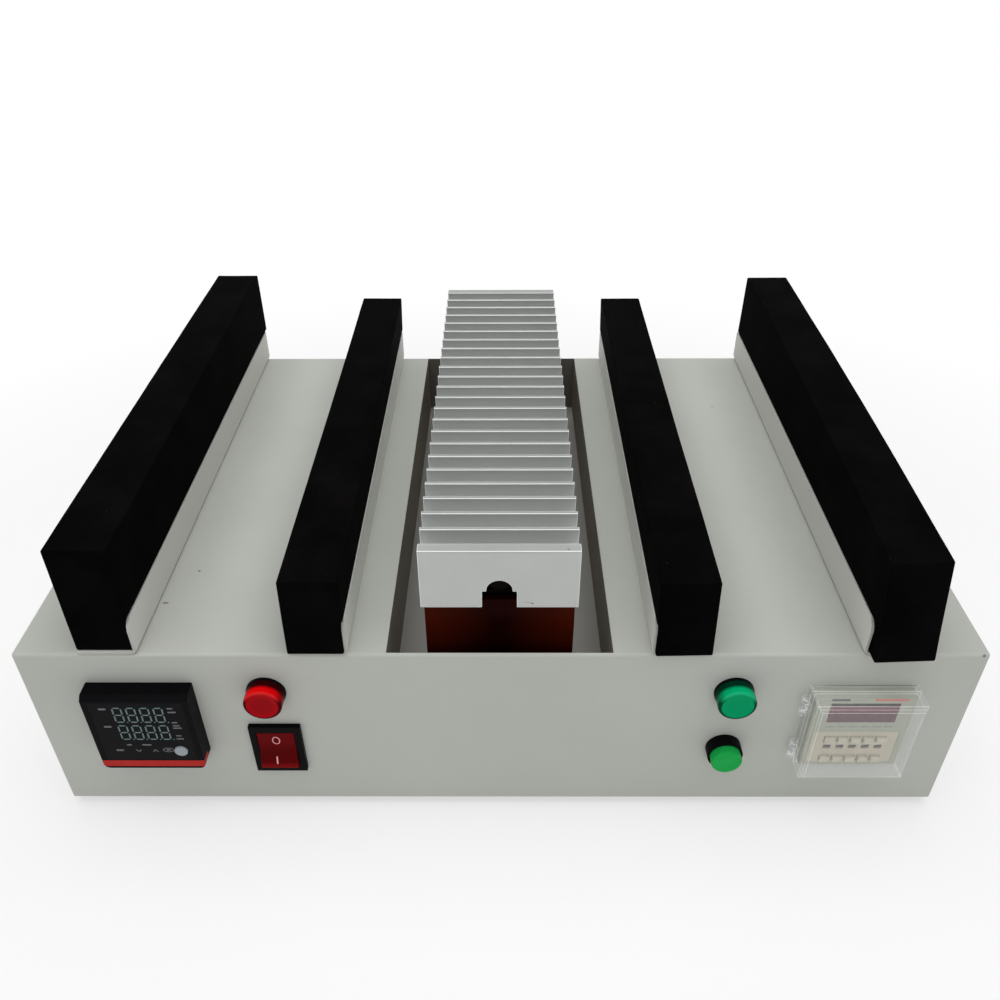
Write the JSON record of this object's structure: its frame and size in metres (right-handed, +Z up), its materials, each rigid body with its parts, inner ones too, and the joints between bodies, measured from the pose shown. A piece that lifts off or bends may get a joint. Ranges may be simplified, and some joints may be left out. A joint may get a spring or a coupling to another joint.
{
  "type": "bench heater with foam rails",
  "caption": "Low sheet-metal bench heater: finned aluminium heater block in a top trough between black foam work rails, with controller, timer, lamps, rocker switch and push button in front.",
  "frame": {"origin": "on the table under the middle of the overall space", "axes": "+X along the front panel to the right, +Y from the front to the rear, +Z up"},
  "size_m": [0.4336, 0.301, 0.1644],
  "materials": {
    "case_paint": "light warm grey powder coat, satin",
    "bare_steel": "zinc plated steel",
    "milled_aluminium": "satin, fine milled",
    "brown_resin": "glossy dark brown insulating resin",
    "black_foam": "matt black foam rubber",
    "black_rubber": "matt rubber",
    "black_plastic": "satin black",
    "dark_face": "glossy near black",
    "red_trim": "satin red",
    "silver_key": "satin silver",
    "red_lens": "glossy red, tinted through",
    "green_lens": "glossy green, tinted through",
    "red_rocker": "glossy dark red",
    "green_cap": "glossy bright green",
    "timer_grey": "satin grey green",
    "window_maroon": "glossy dark maroon",
    "cream": "satin cream",
    "wheel_plastic": "satin grey",
    "clear_plastic": "clear, glossy",
    "white_plastic": "satin white"
  },
  "bodies": {
    "case": {"case_cover": "case_paint", "base_plate": "case_paint", "trough": "case_paint", "base_screws": "bare_steel", "rubber_feet": "black_rubber", "foot_screws": "bare_steel", "rail_outer_left": "case_paint", "rail_inner_left": "case_paint", "rail_inner_right": "case_paint", "rail_outer_right": "case_paint", "foam_outer_left": "black_foam", "foam_inner_left": "black_foam", "foam_inner_right": "black_foam", "foam_outer_right": "black_foam", "rail_screws": "bare_steel", "heat_sink": "milled_aluminium", "insulator_front": "brown_resin", "insulator_rear": "brown_resin", "sink_screws": "bare_steel", "heater_rod": "bare_steel", "heater_clamp": "milled_aluminium", "temperature_probe": "bare_steel", "controller_housing": "black_plastic", "controller_face": "dark_face", "controller_trim": "red_trim", "instrument_clips": "black_plastic", "red_lamp_lens": "red_lens", "green_lamp_lens": "green_lens", "lamp_bodies": "black_plastic", "panel_nuts": "bare_steel", "rocker_housing": "black_plastic", "button_barrel": "black_plastic", "button_spring": "bare_steel", "timer_housing": "timer_grey", "timer_face": "timer_grey", "timer_window": "window_maroon", "timer_key_panel": "cream", "cover_frame": "clear_plastic", "power_inlet": "black_plastic", "solid_state_relay": "white_plastic", "terminal_block": "black_plastic"},
    "rocker": {"rocker": "red_rocker"},
    "start_button": {"button_cap": "green_cap"},
    "timer_lid": {"cover_lid": "clear_plastic"},
    "set_key": {"controller_key": "silver_key"},
    "digit_wheel_1": {"digit_wheel_1": "wheel_plastic"},
    "upper_key_1": {"upper_key_1": "cream"},
    "lower_key_1": {"lower_key_1": "cream"},
    "digit_wheel_2": {"digit_wheel_2": "wheel_plastic"},
    "upper_key_2": {"upper_key_2": "cream"},
    "lower_key_2": {"lower_key_2": "cream"},
    "digit_wheel_3": {"digit_wheel_3": "wheel_plastic"},
    "upper_key_3": {"upper_key_3": "cream"},
    "lower_key_3": {"lower_key_3": "cream"},
    "digit_wheel_4": {"digit_wheel_4": "wheel_plastic"},
    "upper_key_4": {"upper_key_4": "cream"},
    "lower_key_4": {"lower_key_4": "cream"},
    "digit_wheel_5": {"digit_wheel_5": "wheel_plastic"},
    "upper_key_5": {"upper_key_5": "cream"},
    "lower_key_5": {"lower_key_5": "cream"}
  },
  "joints": [
    {"name": "rocker_tilt", "type": "hinge", "parent": "case", "child": "rocker", "pos_m": [-0.1054, -0.1345, 0.0451], "axis": [1, 0, 0], "range_deg": [0, 14]},
    {"name": "start_press", "type": "slide", "parent": "case", "child": "start_button", "axis": [0, 1, 0], "range_m": [0, 0.003], "stiffness_N_per_m": 400, "deforming": ["button_spring"]},
    {"name": "lid_swing", "type": "hinge", "parent": "case", "child": "timer_lid", "pos_m": [0.13735, -0.13965, 0.063], "axis": [0, 0, -1], "range_deg": [0, 110]},
    {"name": "set_key_press", "type": "slide", "parent": "case", "child": "set_key", "axis": [0, 1, 0], "range_m": [0, 0.0005], "stiffness_N_per_m": 500},
    {"name": "wheel_turn_1", "type": "hinge", "parent": "case", "child": "digit_wheel_1", "pos_m": [0.1518, -0.1377, 0.0531], "axis": [1, 0, 0], "continuous": true},
    {"name": "upper_press_1", "type": "slide", "parent": "case", "child": "upper_key_1", "axis": [0, 1, 0], "range_m": [0, 0.0012], "stiffness_N_per_m": 300},
    {"name": "lower_press_1", "type": "slide", "parent": "case", "child": "lower_key_1", "axis": [0, 1, 0], "range_m": [0, 0.0012], "stiffness_N_per_m": 300},
    {"name": "wheel_turn_2", "type": "hinge", "parent": "case", "child": "digit_wheel_2", "pos_m": [0.1577, -0.1377, 0.0531], "axis": [1, 0, 0], "continuous": true},
    {"name": "upper_press_2", "type": "slide", "parent": "case", "child": "upper_key_2", "axis": [0, 1, 0], "range_m": [0, 0.0012], "stiffness_N_per_m": 300},
    {"name": "lower_press_2", "type": "slide", "parent": "case", "child": "lower_key_2", "axis": [0, 1, 0], "range_m": [0, 0.0012], "stiffness_N_per_m": 300},
    {"name": "wheel_turn_3", "type": "hinge", "parent": "case", "child": "digit_wheel_3", "pos_m": [0.1636, -0.1377, 0.0531], "axis": [1, 0, 0], "continuous": true},
    {"name": "upper_press_3", "type": "slide", "parent": "case", "child": "upper_key_3", "axis": [0, 1, 0], "range_m": [0, 0.0012], "stiffness_N_per_m": 300},
    {"name": "lower_press_3", "type": "slide", "parent": "case", "child": "lower_key_3", "axis": [0, 1, 0], "range_m": [0, 0.0012], "stiffness_N_per_m": 300},
    {"name": "wheel_turn_4", "type": "hinge", "parent": "case", "child": "digit_wheel_4", "pos_m": [0.1695, -0.1377, 0.0531], "axis": [1, 0, 0], "continuous": true},
    {"name": "upper_press_4", "type": "slide", "parent": "case", "child": "upper_key_4", "axis": [0, 1, 0], "range_m": [0, 0.0012], "stiffness_N_per_m": 300},
    {"name": "lower_press_4", "type": "slide", "parent": "case", "child": "lower_key_4", "axis": [0, 1, 0], "range_m": [0, 0.0012], "stiffness_N_per_m": 300},
    {"name": "wheel_turn_5", "type": "hinge", "parent": "case", "child": "digit_wheel_5", "pos_m": [0.1754, -0.1377, 0.0531], "axis": [1, 0, 0], "continuous": true},
    {"name": "upper_press_5", "type": "slide", "parent": "case", "child": "upper_key_5", "axis": [0, 1, 0], "range_m": [0, 0.0012], "stiffness_N_per_m": 300},
    {"name": "lower_press_5", "type": "slide", "parent": "case", "child": "lower_key_5", "axis": [0, 1, 0], "range_m": [0, 0.0012], "stiffness_N_per_m": 300}
  ]
}
